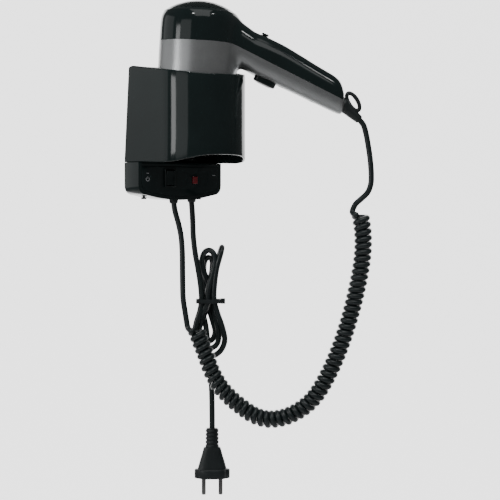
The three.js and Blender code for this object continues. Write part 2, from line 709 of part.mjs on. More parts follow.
function plugRelief() {
  const profile = [[0, PLUG.shoulder], [7, PLUG.shoulder]];
  const ribs = 4;
  const pitch = (PLUG.top - PLUG.shoulder) / ribs;
  for (let i = 0; i < ribs; i += 1) {
    const z = PLUG.shoulder + i * pitch;
    const radius = 7 - 0.4 * i;
    profile.push([radius, z + pitch * 0.6], [radius - 1, z + pitch * 0.7], [radius - 1, z + pitch * 0.95]);
  }
  profile.push([4.8, PLUG.top], [0, PLUG.top]);
  return turned(profile, 12).translate(PLUG.along, PLUG.away, 0);
}

function plugPin(side) {
  const x = PLUG.along + (side * PIN_SPACING) / 2;
  return rod(PIN_RADIUS, PLUG.pinEnd, PLUG.face - GAP, 14).translate(x, PLUG.away, 0);
}

function cords() {
  const cordGroup = new THREE.Group();
  cordGroup.rotation.z = rad(HANG_AZIMUTH);
  const add = (name, geometry, look = CORD_BLACK) => cordGroup.add(part(name, geometry, look));
  add('curly_lead_handle', tube(HANDLE_LEAD_ROUTE, LEAD_RADIUS, 16, 8));
  add('curly_coil', tube(CURL_ROUTE, CURL_RADIUS, 24, 10));
  add('curly_lead_base', tube(BASE_LEAD_ROUTE, LEAD_RADIUS, 10, 8));
  add('mains_lead_upper', cut(tube(MAINS_UPPER_ROUTE, MAINS_RADIUS, 7, 8), hank(GAP)));
  add('mains_hank', hank(0));
  add('hank_tie', hankTie());
  add('mains_lead_lower', cut(tube(MAINS_LOWER_ROUTE, MAINS_RADIUS, 7, 8), hank(GAP)));
  add('plug_strain_relief', plugRelief());
  add('plug_body', plugBody());
  add('plug_pin_left', plugPin(-1), BRASS);
  add('plug_pin_right', plugPin(1), BRASS);
  return cordGroup;
}

const group = new THREE.Group();
group.add(wallUnit(), dryer(), cords());

export default group;
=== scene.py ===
import json
import math

import bmesh
import bpy
import numpy as np
from mathutils import Matrix, Vector


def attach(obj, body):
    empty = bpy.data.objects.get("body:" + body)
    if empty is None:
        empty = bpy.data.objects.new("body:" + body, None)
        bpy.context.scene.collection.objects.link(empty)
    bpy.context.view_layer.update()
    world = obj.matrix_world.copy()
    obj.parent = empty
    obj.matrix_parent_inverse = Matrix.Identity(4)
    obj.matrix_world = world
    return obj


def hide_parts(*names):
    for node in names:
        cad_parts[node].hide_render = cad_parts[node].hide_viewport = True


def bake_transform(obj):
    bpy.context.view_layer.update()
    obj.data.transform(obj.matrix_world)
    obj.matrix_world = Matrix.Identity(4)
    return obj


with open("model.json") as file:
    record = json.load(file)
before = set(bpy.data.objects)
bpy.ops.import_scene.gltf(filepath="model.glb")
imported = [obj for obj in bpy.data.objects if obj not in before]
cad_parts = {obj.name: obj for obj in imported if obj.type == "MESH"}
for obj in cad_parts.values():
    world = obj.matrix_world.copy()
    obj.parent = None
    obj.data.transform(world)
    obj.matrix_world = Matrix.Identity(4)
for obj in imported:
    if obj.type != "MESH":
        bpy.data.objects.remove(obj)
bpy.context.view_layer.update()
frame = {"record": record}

MM = 0.001
HANG_AZIMUTH = math.radians(-36)
DRYER_TILT = math.radians(3)
SEAM_CENTRE = Vector((-1.6, -62.8, 97.5))

# Frames in millimetres: the wall unit's own, the dryer's, and the upright plane that the handle
# and the cords hang in.
WALL = Matrix.Scale(MM, 4)
HANG = WALL @ Matrix.Rotation(HANG_AZIMUTH, 4, "Z")
DRYER = (WALL @ Matrix.Translation(SEAM_CENTRE) @ Matrix.Rotation(HANG_AZIMUTH, 4, "Z")
         @ Matrix.Rotation(DRYER_TILT, 4, "Y"))


# ---------------------------------------------------------------- camera, stage and lights
CAMERA_HEIGHT = -85
CAMERA_DISTANCE = 2050
CAMERA_LENS = 130.6
CAMERA_SHIFT = -0.082
SENSOR_WIDTH = 36
FRAME_CENTRE_ALONG = 94.7
FLOOR_HALF_SIZE = 6.0
FLOOR_HEIGHT = -0.9
FLOOR_TONE = (0.72, 0.72, 0.72)
BACKDROP_BEHIND = 1300
BACKDROP_GLOW = 2.2
WORLD_STRENGTH = 0.13


def make_camera():
    data = bpy.data.cameras.new("camera")
    data.lens = CAMERA_LENS
    data.sensor_width = SENSOR_WIDTH
    data.shift_y = CAMERA_SHIFT
    data.clip_end = 50
    camera = bpy.data.objects.new("camera", data)
    bpy.context.collection.objects.link(camera)
    eye = HANG @ Vector((0, -CAMERA_DISTANCE, CAMERA_HEIGHT))
    target = HANG @ Vector((FRAME_CENTRE_ALONG, 0, CAMERA_HEIGHT))
    camera.location = eye
    camera.rotation_euler = (target - eye).to_track_quat("-Z", "Y").to_euler()
    bpy.context.scene.camera = camera


def make_light(name, place, aim, size, power, size_y=None):
    data = bpy.data.lights.new(name, "AREA")
    data.shape = "RECTANGLE"
    data.size = size
    data.size_y = size_y or size
    data.energy = power
    light = bpy.data.objects.new(name, data)
    bpy.context.collection.objects.link(light)
    light.location = HANG @ Vector(place)
    direction = HANG @ Vector(aim) - light.location
    light.rotation_euler = direction.to_track_quat("-Z", "Y").to_euler()


def plain_material(name, colour, glow=0.0):
    material = bpy.data.materials.new(name)
    material.use_nodes = True
    shader = material.node_tree.nodes["Principled BSDF"]
    shader.inputs["Base Color"].default_value = (*colour, 1)
    shader.inputs["Roughness"].default_value = 0.9
    shader.inputs["Specular IOR Level"].default_value = 0.1
    shader.inputs["Emission Color"].default_value = (*colour, 1)
    shader.inputs["Emission Strength"].default_value = glow
    return material


def stage_sheet(name, corners, material):
    """One flat four-cornered sheet that belongs to the stage, not to the object."""
    bm = bmesh.new()
    bm.faces.new([bm.verts.new(corner) for corner in corners])
    mesh = bpy.data.meshes.new(name)
    bm.to_mesh(mesh)
    bm.free()
    mesh.materials.append(material)
    sheet = bpy.data.objects.new(name, mesh)
    bpy.context.collection.objects.link(sheet)


def make_stage():
    size = FLOOR_HALF_SIZE
    corners = [(-size, -size), (size, -size), (size, size), (-size, size)]
    material = plain_material("pale_floor", FLOOR_TONE)
    stage_sheet("floor", [(x, y, FLOOR_HEIGHT) for x, y in corners], material)


def make_backdrop():
    """A bright wall a little way behind the object, square to the camera."""
    material = plain_material("backdrop", (1.0, 1.0, 1.0), BACKDROP_GLOW)
    corners = [(-900, -900), (1500, -900), (1500, 900), (-900, 900)]
    stage_sheet("backdrop", [HANG @ Vector((x, BACKDROP_BEHIND, z)) for x, z in corners], material)


def make_world():
    world = bpy.data.worlds.new("studio")
    bpy.context.scene.world = world
    world.use_nodes = True
    background = world.node_tree.nodes["Background"]
    background.inputs["Color"].default_value = (1, 1, 1, 1)
    background.inputs["Strength"].default_value = WORLD_STRENGTH


make_camera()
make_stage()
make_backdrop()
make_world()
# Each light: name, place, aim, width in metres, watts, and height in metres where it isn't square.
make_light("left_strip", (-866, -500, 70), (20, -60, 20), 0.24, 1.7, 0.42)
make_light("left_panel", (-1500, 350, 150), (20, -60, 0), 1.3, 2.4, 1.1)
make_light("left_soft", (-900, -1150, 100), (20, -60, 20), 0.8, 1.6)
make_light("front_soft", (250, -1350, 1250), (60, -60, 40), 1.3, 6.5, 1.0)
make_light("high_left", (-430, -1250, 1150), (36, -60, 60), 0.12, 2.6)
make_light("high_front", (960, -920, 1150), (36, -60, 60), 0.12, 1.2)
make_light("overhead", (100, -300, 1700), (60, -60, 60), 1.5, 9)


# ---------------------------------------------------------------- materials
def noise_node(tree, scale, detail=4.0):
    texture = tree.nodes.new("ShaderNodeTexNoise")
    texture.inputs["Scale"].default_value = scale
    texture.inputs["Detail"].default_value = detail
    source = tree.nodes.new("ShaderNodeTexCoord")
    tree.links.new(source.outputs["Object"], texture.inputs["Vector"])
    return texture


def ramp(tree, source, low, high):
    """The source's middle range spread between two values, each a colour or a single number."""
    node = tree.nodes.new("ShaderNodeValToRGB")
    for element, place, value in zip(node.color_ramp.elements, (0.3, 0.7), (low, high)):
        element.position = place
        element.color = (*value, 1) if isinstance(value, tuple) else (value, value, value, 1)
    tree.links.new(source, node.inputs["Fac"])
    return node.outputs["Color"]


def surface(name, low, high, rough, bump, cloud_scale=40, grain_scale=900, metal=0.0, coat=0.0,
            specular=0.5):
    """Base colour clouded between two tones, roughness that varies, and a fine grain in the bump."""
    material = bpy.data.materials.new(name)
    material.use_nodes = True
    tree = material.node_tree
    shader = tree.nodes["Principled BSDF"]
    cloud = noise_node(tree, cloud_scale)
    grain = noise_node(tree, grain_scale, 3.0)
    tree.links.new(ramp(tree, cloud.outputs["Fac"], low, high), shader.inputs["Base Color"])
    tree.links.new(ramp(tree, grain.outputs["Fac"], rough[0], rough[1]), shader.inputs["Roughness"])
    height = tree.nodes.new("ShaderNodeBump")
    height.inputs["Strength"].default_value = bump
    height.inputs["Distance"].default_value = 0.0002
    tree.links.new(grain.outputs["Fac"], height.inputs["Height"])
    tree.links.new(height.outputs["Normal"], shader.inputs["Normal"])
    shader.inputs["Metallic"].default_value = metal
    shader.inputs["Coat Weight"].default_value = coat
    shader.inputs["Coat Roughness"].default_value = 0.06
    shader.inputs["Specular IOR Level"].default_value = specular
    return material


BLACK_GLOSS = surface(
    "black_gloss", (0.0085, 0.0160, 0.0160), (0.0110, 0.0200, 0.0200), (0.07, 0.13), 0.02, 25, 700,
    specular=0.42)
SILVER_PAINT = surface(
    "silver_paint", (0.33, 0.34, 0.345), (0.38, 0.39, 0.395), (0.26, 0.36), 0.08, 60, 2600, metal=0.8)
DARK_INSIDE = surface(
    "dark_inside", (0.012, 0.013, 0.014), (0.02, 0.021, 0.022), (0.4, 0.6), 0.2, 60, 1500)
CORD_SHEATH = surface(
    "cord_sheath", (0.012, 0.019, 0.020), (0.017, 0.025, 0.026), (0.24, 0.36), 0.06, 90, 1600)
SOFT_RUBBER = surface(
    "soft_rubber", (0.011, 0.016, 0.017), (0.016, 0.022, 0.024), (0.35, 0.5), 0.15, 80, 1400)
STEEL = surface(
    "steel", (0.5, 0.51, 0.53), (0.6, 0.61, 0.63), (0.22, 0.38), 0.1, 120, 2200, metal=1.0)
PIN_METAL = surface(
    "pin_metal", (0.20, 0.20, 0.20), (0.27, 0.27, 0.27), (0.18, 0.3), 0.08, 150, 2000, metal=1.0)
MICA = surface("mica", (0.42, 0.36, 0.25), (0.55, 0.47, 0.33), (0.5, 0.7), 0.2, 200, 900)
BOARD = surface("board", (0.02, 0.11, 0.05), (0.04, 0.17, 0.08), (0.4, 0.6), 0.1, 120, 900)
NYLON = surface("nylon", (0.55, 0.53, 0.45), (0.66, 0.63, 0.55), (0.4, 0.55), 0.1, 60, 900)
RED_LENS = surface(
    "red_lens", (0.22, 0.006, 0.012), (0.31, 0.010, 0.02), (0.08, 0.16), 0.05, 300, 900, coat=0.5)
# White for the printed marks on the front panel, and for one painted highlight near its right edge.
PRINT_AND_HIGHLIGHT_WHITE = surface(
    "print_and_highlight_white", (0.42, 0.44, 0.45), (0.52, 0.54, 0.55), (0.4, 0.6), 0.1, 200, 900)


# ---------------------------------------------------------------- mesh tools
def add_object(name, mesh, material, body, node_names=(), smooth=False):
    piece = bpy.data.objects.new(name, mesh)
    bpy.context.collection.objects.link(piece)
    mesh.materials.clear()
    mesh.materials.append(material)
    if smooth:
        mesh.shade_smooth()
    if body:
        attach(piece, body)
    if node_names:
        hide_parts(*node_names)
    return piece


def mesh_from(name, verts, faces, matrix):
    mesh = bpy.data.meshes.new(name)
    mesh.from_pydata([tuple(v) for v in verts], [], faces)
    mesh.transform(matrix)
    mesh.validate()
    mesh.update()
    return mesh


def smooth_route(points, step):
    """Points about step apart on a centripetal Catmull-Rom spline through the given points."""
    p = [Vector(q) for q in points]
    p = [2 * p[0] - p[1], *p, 2 * p[-1] - p[-2]]
    out = []
    for a, b, c, d in zip(p, p[1:], p[2:], p[3:]):
        t1 = (b - a).length ** 0.5
        t2 = t1 + (c - b).length ** 0.5
        t3 = t2 + (d - c).length ** 0.5
        count = max(1, round((c - b).length / step))
        for i in range(count):
            t = t1 + (t2 - t1) * i / count
            a1 = a * ((t1 - t) / t1) + b * (t / t1)
            a2 = b * ((t2 - t) / (t2 - t1)) + c * ((t - t1) / (t2 - t1))
            a3 = c * ((t3 - t) / (t3 - t2)) + d * ((t - t2) / (t3 - t2))
            b1 = a1 * ((t2 - t) / t2) + a2 * (t / t2)
            b2 = a2 * ((t3 - t) / (t3 - t1)) + a3 * ((t - t1) / (t3 - t1))
            out.append(b1 * ((t2 - t) / (t2 - t1)) + b2 * ((t - t1) / (t2 - t1)))
    out.append(p[-2].copy())
    return out


def even_route(points, step):
    """The same line with its points spaced evenly."""
    line = np.array([tuple(q) for q in points])
    lengths = np.concatenate([[0], np.cumsum(np.linalg.norm(np.diff(line, axis=0), axis=1))])
    count = max(2, round(lengths[-1] / step))
    wanted = np.linspace(0, lengths[-1], count + 1)
    return np.stack([np.interp(wanted, lengths, line[:, k]) for k in range(3)], axis=1)


def tangents_of(line):
    tangent = np.gradient(line, axis=0)
    return tangent / np.linalg.norm(tangent, axis=1)[:, None]


def carried_frames(line):
    """A normal and binormal at each point, carried along the line without twisting."""
    tangent = tangents_of(line)
    normal = np.cross(tangent[0], [0.3, 0.9, 0.1])
    normal /= np.linalg.norm(normal)
    normals = []
    for t in tangent:
        normal = normal - t * normal.dot(t)
        normal = normal / np.linalg.norm(normal)
        normals.append(normal)
    normals = np.array(normals)
    return normals, np.cross(tangent, normals)


def tube_mesh(name, line, radius, sides, matrix):
    """A round tube along a line, with each end closed by a flat cap."""
    normal, binormal = carried_frames(line)
    angles = np.arange(sides) * 2 * math.pi / sides
    rings = (line[:, None, :] + radius * (np.cos(angles)[None, :, None] * normal[:, None, :]
                                          + np.sin(angles)[None, :, None] * binormal[:, None, :]))
    count = len(line)
    verts = rings.reshape(-1, 3).tolist()
    faces = []
    for i in range(count - 1):
        for j in range(sides):
            k = (j + 1) % sides
            faces.append((i * sides + j, i * sides + k, (i + 1) * sides + k, (i + 1) * sides + j))
    faces.append(tuple(range(sides))[::-1])
    faces.append(tuple((count - 1) * sides + j for j in range(sides)))
    return mesh_from(name, verts, faces, matrix)


# ---------------------------------------------------------------- cords
LEAD_DIAMETER = 6.5
CURL_OUTER = 20.4
CURL_TURNS = 58
CURL_STEPS = 18
CURL_LEAD_IN = 0.7
JOIN_PULL = 20.0
JOIN_POINTS = 7
LEAD_STEP = 2.4
MAINS_STEP = 2.2
LEAD_SIDES = 12
HANDLE_LEAD_ROUTE = [
    (211.6, -51.7, 15.4), (214.3, -51.7, 12.7), (217.8, -51.7, 8.2), (220.4, -51.7, 0),
    (223.4, -51.7, -16), (225.6, -51.7, -32), (226.6, -51.7, -47), (226, -51.7, -58),
    (222.4, -51.7, -67), (215.2, -51.6, -74), (208.8, -51.4, -80), (206, -51.2, -86),
]
CURL_ROUTE = [
    (214.6, -51.7, -91.6), (217.2, -52.2, -110), (217.3, -52.2, -131), (214.8, -51.7, -152),
    (209.2, -50.7, -180), (202, -49.5, -208), (192.6, -48, -237), (181, -46, -265),
    (166.6, -43.5, -290.5), (155, -41.4, -303), (141.6, -38.9, -312), (127.5, -36.4, -317.4),
    (113, -34, -318.8), (98.5, -31.5, -315), (84.5, -29, -306), (71, -26.7, -295),
    (59.6, -24.6, -282), (50.2, -23, -265), (43, -21.7, -245), (36.5, -20.4, -229),
    (33.8, -19.9, -221),
]
BASE_LEAD_ROUTE = [
    (8.3, -14.9, -75.5), (8.7, -14.9, -80), (10, -15.1, -88), (13.4, -15.6, -100),
    (16.4, -16.1, -114), (17.8, -16.6, -130), (18.2, -17.2, -148), (18.4, -18, -168),
    (19, -18.8, -186), (21.4, -19.3, -202), (23.6, -19.8, -216),
]
MAINS_ROUTE = [
    # down to the tie and round the outer right loop
    (28.4, -0.2, -74.5), (28.7, -0.2, -79), (29.4, -0.2, -88), (30, 0, -100), (30.6, -0.4, -116),
    (32.6, -1, -134), (35.8, -1.4, -152), (38.6, -1.5, -170), (39.8, -1.5, -188), (38, -1.5, -200),
    (34, -1.5, -213), (32, -1.5, -226), (34.5, -1.5, -239), (42, -1.5, -248), (52, -1.5, -251),
    (61, -1.5, -245.5), (66, -1.5, -234), (63.5, -1.5, -219), (58, -1.5, -203), (54, -1.5, -188),
    (54.5, -1.5, -170), (57, -1.5, -152), (60.5, -1.5, -139),
    # the loop seen edge-on, and down to the lower left
    (61.9, -1.2, -133.8), (62.8, 1.1, -129.8), (63, 4.7, -128.2), (62.5, 8.5, -130),
    (61.2, 10.6, -134.2), (59.8, 10.9, -139), (55.5, 10.9, -155), (50, 8, -172), (46.8, 4.7, -189),
    (43.5, 4.7, -203), (38.5, 4.7, -216), (36.5, 4.7, -229), (41, 4.7, -240), (49.5, 4.7, -243),
    (57.5, 4.7, -238), (59.5, 4.7, -227), (57, 4.7, -212), (54, 4.7, -198), (53, 4.7, -187),
    (48.5, 6, -171), (42.5, 6.5, -155),
    # the upper outer loop and down again
    (40.6, 5, -143), (41.8, 3.5, -137), (44.6, 2, -132.8), (48.2, 0.8, -131.5), (51.8, -0.1, -133),
    (54.2, -0.7, -137.2), (54.8, -1.2, -147), (51, -1.8, -163), (47.2, -2.2, -178),
    (46.4, -2, -190), (41, 0, -203), (36.6, 5, -214), (36.6, 10.6, -226), (43, 10.9, -234.5),
    (51.5, 10.9, -234), (55.6, 10.9, -225.5), (53, 10.9, -213), (49, 10.9, -200),
    (46.8, 10.9, -188), (44.5, 10.9, -172), (42.6, 10.9, -156),
    # the upper inner loop and away to the plug
    (42.7, 10.8, -149), (43.6, 10.5, -144.2), (45.6, 9.8, -141), (48.4, 9, -139.8),
    (51, 8.2, -141.2), (52.5, 7.7, -145), (52.2, 7.7, -151), (51.2, 8.2, -159), (46, 11.5, -173),
    (40.4, 10.9, -188), (41.5, 10.9, -202), (44.6, 9, -216), (46.4, 7, -230), (47.6, 5.2, -246),
    (49.4, 4.2, -262), (50.8, 4, -278), (51.6, 4, -294), (51.9, 4, -314), (52, 4, -330),
    (52, 4, -336),
]


def hermite(start, start_slope, end, end_slope, count):
    """Points strictly between two ends that leave and arrive along the given slopes."""
    out = []
    for i in range(1, count):
        u = i / count
        out.append(start * (2 * u**3 - 3 * u**2 + 1) + start_slope * (u**3 - 2 * u**2 + u)
                   + end * (-2 * u**3 + 3 * u**2) + end_slope * (u**3 - u**2))
    return out


def phase_towards(point, centre, normal, binormal):
    """The angle round the coil's centreline at which a point lies."""
    away = point - centre
    return math.atan2(away.dot(binormal), away.dot(normal))


def sampled(field, where):
    """A field of points read at fractional places along it."""
    places = np.arange(len(field))
    return np.stack([np.interp(where, places, field[:, k]) for k in range(3)], axis=1)


def curly_line():
    """Handle lead, the helix about its drooping centreline, and the base lead, as one line."""
    first = even_route(smooth_route(HANDLE_LEAD_ROUTE, 3), LEAD_STEP)
    last = even_route(smooth_route(BASE_LEAD_ROUTE, 3), LEAD_STEP)[::-1]
    centre = even_route(smooth_route(CURL_ROUTE, 4), 1.5)
    normal, binormal = carried_frames(centre)
    helix_radius = (CURL_OUTER - LEAD_DIAMETER) / 2
    begin = phase_towards(first[-1], centre[0], normal[0], binormal[0]) - CURL_LEAD_IN
    end = phase_towards(last[0], centre[-1], normal[-1], binormal[-1]) + CURL_LEAD_IN
    turn = 2 * math.pi
    final = end + turn * CURL_TURNS - turn * round((end - begin) / turn)
    angle = np.linspace(begin, final, CURL_TURNS * CURL_STEPS + 1)
    where = np.linspace(0, len(centre) - 1, len(angle))
    across = np.cos(angle)[:, None] * sampled(normal, where)
    along = np.sin(angle)[:, None] * sampled(binormal, where)
    helix = sampled(centre, where) + helix_radius * (across + along)
    leave, arrive = (tangents_of(line) * JOIN_PULL for line in (first, last))
    slope = tangents_of(helix) * JOIN_PULL
    start_gap = hermite(first[-1], leave[-1], helix[0], slope[0], JOIN_POINTS)
    end_gap = hermite(helix[-1], slope[-1], last[0], arrive[0], JOIN_POINTS)
    return np.concatenate([first, np.array(start_gap), helix, np.array(end_gap), last])


# ---------------------------------------------------------------- more mesh tools
def ease_min(a, b, k):
    """The smaller of two distances, with the crease between them rounded over k."""
    h = np.maximum(k - np.abs(a - b), 0) / k
    return np.minimum(a, b) - h * h * k / 4


def soft_table(knots, width=2.5, step=0.5):
    """Columns after the first, interpolated along the first and smoothed over a few millimetres."""
    knots = np.array(knots, float)
    x = np.arange(knots[0, 0] - 12, knots[-1, 0] + 12, step)
    reach = np.arange(-3 * width, 3 * width + step, step)
    weight = np.exp(-0.5 * (reach / width) ** 2)
    weight /= weight.sum()
    columns = []
    for k in range(1, knots.shape[1]):
        raw = np.interp(x, knots[:, 0], knots[:, k])
        pad = len(reach) // 2
        columns.append(np.convolve(np.pad(raw, pad, mode="edge"), weight, mode="valid")[:len(x)])
    return x, columns


def surface_net(distance, low, high, step, relax=3):
    """Quads over the zero surface of a distance function, each point carried onto it."""
    axes = [np.arange(a, b + step, step) for a, b in zip(low, high)]
    grid = np.stack(np.meshgrid(*axes, indexing="ij"), axis=-1)
    inside = distance(grid.reshape(-1, 3)).reshape(grid.shape[:3]) < 0
    across, deep, tall = (count - 1 for count in inside.shape)
    corner_sum = sum(inside[i:i + across, j:j + deep, k:k + tall].astype(int)
                     for i in (0, 1) for j in (0, 1) for k in (0, 1))
    crossed = (corner_sum > 0) & (corner_sum < 8)
    number = -np.ones(crossed.shape, int)
    number[crossed] = np.arange(crossed.sum())
    cells = np.argwhere(crossed)
    points = np.array(low) + (cells + 0.5) * step
    faces = []
    for axis in range(3):
        u, v = (axis + 1) % 3, (axis + 2) % 3
        first = np.take(inside, range(inside.shape[axis] - 1), axis)
        second = np.take(inside, range(1, inside.shape[axis]), axis)
        for spot in np.argwhere(first != second):
            if min(spot[u], spot[v]) < 1 or spot[u] >= crossed.shape[u] or spot[v] >= crossed.shape[v]:
                continue
            quad = []
            for du, dv in ((-1, -1), (0, -1), (0, 0), (-1, 0)):
                cell = spot.copy()
                cell[u] += du
                cell[v] += dv
                quad.append(int(number[tuple(cell)]))
            if not first[tuple(spot)]:
                quad.reverse()
            faces.append(tuple(quad))
    quads = np.array(faces)
    for _ in range(relax):
        points = carry_onto(distance, points)
        centres = points[quads].mean(axis=1)
        total = np.zeros_like(points)
        count = np.zeros(len(points))
        for k in range(4):
            np.add.at(total, quads[:, k], centres)
            np.add.at(count, quads[:, k], 1)
        points = 0.5 * points + 0.5 * total / np.maximum(count, 1)[:, None]
    return carry_onto(distance, points), faces


def carry_onto(distance, points, rounds=4):
    """Points moved along the slope of a distance function until they lie on its zero surface."""
    reach = 0.05
    for _ in range(rounds):
        value = distance(points)
        rises = [distance(points + e) - distance(points - e) for e in np.eye(3) * reach]
        slope = np.stack([rise / (2 * reach) for rise in rises], axis=1)
        points = points - slope * (value / np.maximum((slope**2).sum(axis=1), 0.2))[:, None]
    return points


def cut_where(bm, level):
    """Splits the faces along level = 0 and removes what lies below it."""
    values = {v: x for v, x in zip(bm.verts, level(np.array([v.co[:] for v in bm.verts])))}
    for v, x in values.items():
        if abs(x) < 0.15:
            values[v] = 0.0
    for edge in list(bm.edges):
        a, b = (values[v] for v in edge.verts)
        if a * b < 0:
            _, fresh = bmesh.utils.edge_split(edge, edge.verts[0], a / (a - b))
            values[fresh] = 0.0
    for face in list(bm.faces):
        on_line = [v for v in face.verts if values[v] == 0.0]
        mixed = min(values[v] for v in face.verts) < 0 < max(values[v] for v in face.verts)
        if mixed and len(on_line) >= 2:
            try:
                bmesh.utils.face_split(face, on_line[0], on_line[-1] if len(on_line) > 2 else on_line[1])
            except ValueError:
                continue
    gone = [f for f in bm.faces if sum(values[v] for v in f.verts) < 0]
    bmesh.ops.delete(bm, geom=gone, context="FACES")
    loose = [v for v in bm.verts if not v.link_faces]
    bmesh.ops.delete(bm, geom=loose, context="VERTS")


def applied(mesh, *modifiers):
    """The mesh after the modifiers, each given as its type and settings."""
    piece = bpy.data.objects.new("scratch", mesh)
    bpy.context.collection.objects.link(piece)
    for kind, settings in modifiers:
        modifier = piece.modifiers.new(kind.lower(), kind)
        for key, value in settings.items():
            setattr(modifier, key, value)
    graph = bpy.context.evaluated_depsgraph_get()
    result = bpy.data.meshes.new_from_object(piece.evaluated_get(graph))
    bpy.data.objects.remove(piece)
    return result


def walls(thickness):
    return "SOLIDIFY", {"thickness": thickness, "offset": -1, "use_even_offset": True}


def rounding(width, segments=3, angle=35):
    return "BEVEL", {"width": width, "segments": segments, "limit_method": "ANGLE",
                     "angle_limit": math.radians(angle), "use_clamp_overlap": True}


def finish_mesh(mesh, matrix, sharp=40):
    mesh.transform(matrix)
    mesh.shade_smooth()
    mesh.set_sharp_from_angle(angle=math.radians(sharp))
    mesh.update()
    return mesh


def mesh_from_bm(name, bm):
    mesh = bpy.data.meshes.new(name)
    bm.to_mesh(mesh)
    bm.free()
    return mesh


def raw_mesh(name, verts, faces):
    return mesh_from(name, verts, faces, Matrix.Identity(4))


def loft_mesh(name, rings, capped=True):
    """Closed rings of equal count joined in order, with the two ends filled."""
    count = len(rings[0])
    verts = [tuple(p) for loop in rings for p in loop]
    faces = []
    for i in range(len(rings) - 1):
        here, above = i * count, (i + 1) * count
        for j in range(count):
            k = (j + 1) % count
            faces.append((here + j, here + k, above + k, above + j))
    if capped:
        faces += [tuple(range(count))[::-1], tuple((len(rings) - 1) * count + j for j in range(count))]
    return raw_mesh(name, verts, faces)


def turned_mesh(name, profile, sides=48):
    """A profile of (radius, height) turned about Z; a radius of nearly nothing closes it."""
    angles = np.arange(sides) * 2 * math.pi / sides
    rings = []
    for r, z in profile:
        reach = max(r, 0.01)
        rings.append([(reach * math.cos(a), reach * math.sin(a), z) for a in angles])
    return loft_mesh(name, rings)


def joined(name, *meshes):
    bm = bmesh.new()
    for mesh in meshes:
        bm.from_mesh(mesh)
    return mesh_from_bm(name, bm)


def welded(name, mesh):
    """The mesh with its meeting points made one, and its faces turned outward."""
    bm = bmesh.new()
    bm.from_mesh(mesh)
    bmesh.ops.remove_doubles(bm, verts=bm.verts, dist=1e-4)
    bmesh.ops.recalc_face_normals(bm, faces=bm.faces)
    return mesh_from_bm(name, bm)


def outward_faces(mesh):
    bm = bmesh.new()
    bm.from_mesh(mesh)
    bmesh.ops.recalc_face_normals(bm, faces=bm.faces)
    bm.to_mesh(mesh)
    bm.free()
    return mesh


def refined_copy(node, width, segments=3, angle=35, material=None, body=None):
    """A node's own shape with its corners rounded, standing in the node's place."""
    source = bpy.data.objects[node]
    bm = bmesh.new()
    bm.from_mesh(source.data)
    bm.transform(source.matrix_world)
    bmesh.ops.remove_doubles(bm, verts=bm.verts, dist=1e-6)
    bmesh.ops.dissolve_limit(bm, angle_limit=math.radians(1), verts=bm.verts, edges=bm.edges)
    mesh = applied(mesh_from_bm(node + "_visual", bm), rounding(width * MM, segments, angle))
    finish_mesh(mesh, Matrix.Identity(4), 50)
    return add_object(node + "_visual", mesh, material, body, (node,))


def handle_place(x, z, angle):
    return DRYER @ Matrix.Translation((x, 0, z)) @ Matrix.Rotation(math.radians(angle), 4, "Y")


def handle_local(points, x, z, angle):
    """Points of the dryer's frame, seen from a piece set in the handle."""
    c, s = math.cos(math.radians(angle)), math.sin(math.radians(angle))
    dx, dz = points[:, 0] - x, points[:, 2] - z
    return c * dx - s * dz, points[:, 1], s * dx + c * dz


def rounded_box_distance(u, v, length, width, radius):
    qu = np.abs(u) - (length / 2 - radius)
    qv = np.abs(v) - (width / 2 - radius)
    return np.hypot(np.maximum(qu, 0), np.maximum(qv, 0)) + np.minimum(np.maximum(qu, qv), 0) - radius


# ---------------------------------------------------------------- dryer
BARREL_PROFILE = [
    (-112, 26.6), (-106, 28.4), (-80, 36), (-55, 43.2), (0, 43.2), (20, 43.0), (28, 42.3),
    (33.4, 40.0), (38, 36.4),
]
HANDLE_STATIONS = [
    (20, 29, -25, 40), (28, 29, -25, 40), (41, 29, -25, 40), (44.6, 27.2, -25, 39.5),
    (48, 24.6, -25.4, 39), (54.4, 20.4, -28, 38), (61, 15.9, -31.4, 37.4), (77, 10.2, -37.1, 35.5),
    (95, 2.6, -44.4, 34), (113, -6.9, -51.7, 33), (133, -17.9, -59.9, 32), (150.5, -26.8, -67, 31),
    (157, -31.4, -69.3, 30), (160.5, -36.4, -70, 28), (163, -43, -70, 25), (168, -48, -71, 24),
]
BARREL_TOP = 33.4
BARREL_BOTTOM = -106
HANDLE_START = 24
HANDLE_END = 163
SEAM_CORNER = 37.5
SEAM_SLOPE = -0.4348
SEAM_GROOVE = 0.3
RELIEF_START = (158.5, -55.7)
RELIEF_ANGLE = 38.5
BUTTON = (75.5, -36.5, 22.1)
KNOB = (72.4, 12.0, 19.6)
HANDLE_LEAN = 24.5
SCREW_STATIONS = (100, 134)
BARREL_TABLE = soft_table(BARREL_PROFILE, 2.6)
HANDLE_TABLE = soft_table(HANDLE_STATIONS, 2.2)


def dryer_distance(p):
    """Signed distance, near enough, to the barrel and handle run together with a fillet."""
    heights, (radii,) = BARREL_TABLE
    around = np.hypot(p[:, 0], p[:, 1]) - np.interp(p[:, 2], heights, radii)
    barrel = np.maximum(around, np.maximum(p[:, 2] - 36, -110 - p[:, 2]))
    stations, (top, under, width) = HANDLE_TABLE
    tops, unders, widths = (np.interp(p[:, 0], stations, column) for column in (top, under, width))
    middle, half = (tops + unders) / 2, (tops - unders) / 2
    section = ((np.abs(p[:, 1]) / (widths / 2)) ** 2.5 + (np.abs(p[:, 2] - middle) / half) ** 2.5) ** 0.4
    handle = (section - 1) * np.minimum(widths / 2, half) * 0.92
    ends = np.maximum(HANDLE_START - p[:, 0], p[:, 0] - HANDLE_END)
    handle = -ease_min(-handle, -ends, 5.0)
    return ease_min(barrel, handle, 7.0)


def seam_height(x):
    rise = (x - SEAM_CORNER + 6) / 12
    bend = SEAM_SLOPE * 6 * np.clip(rise, 0, 1) ** 2
    return bend + SEAM_SLOPE * np.maximum(x - SEAM_CORNER - 6, 0)


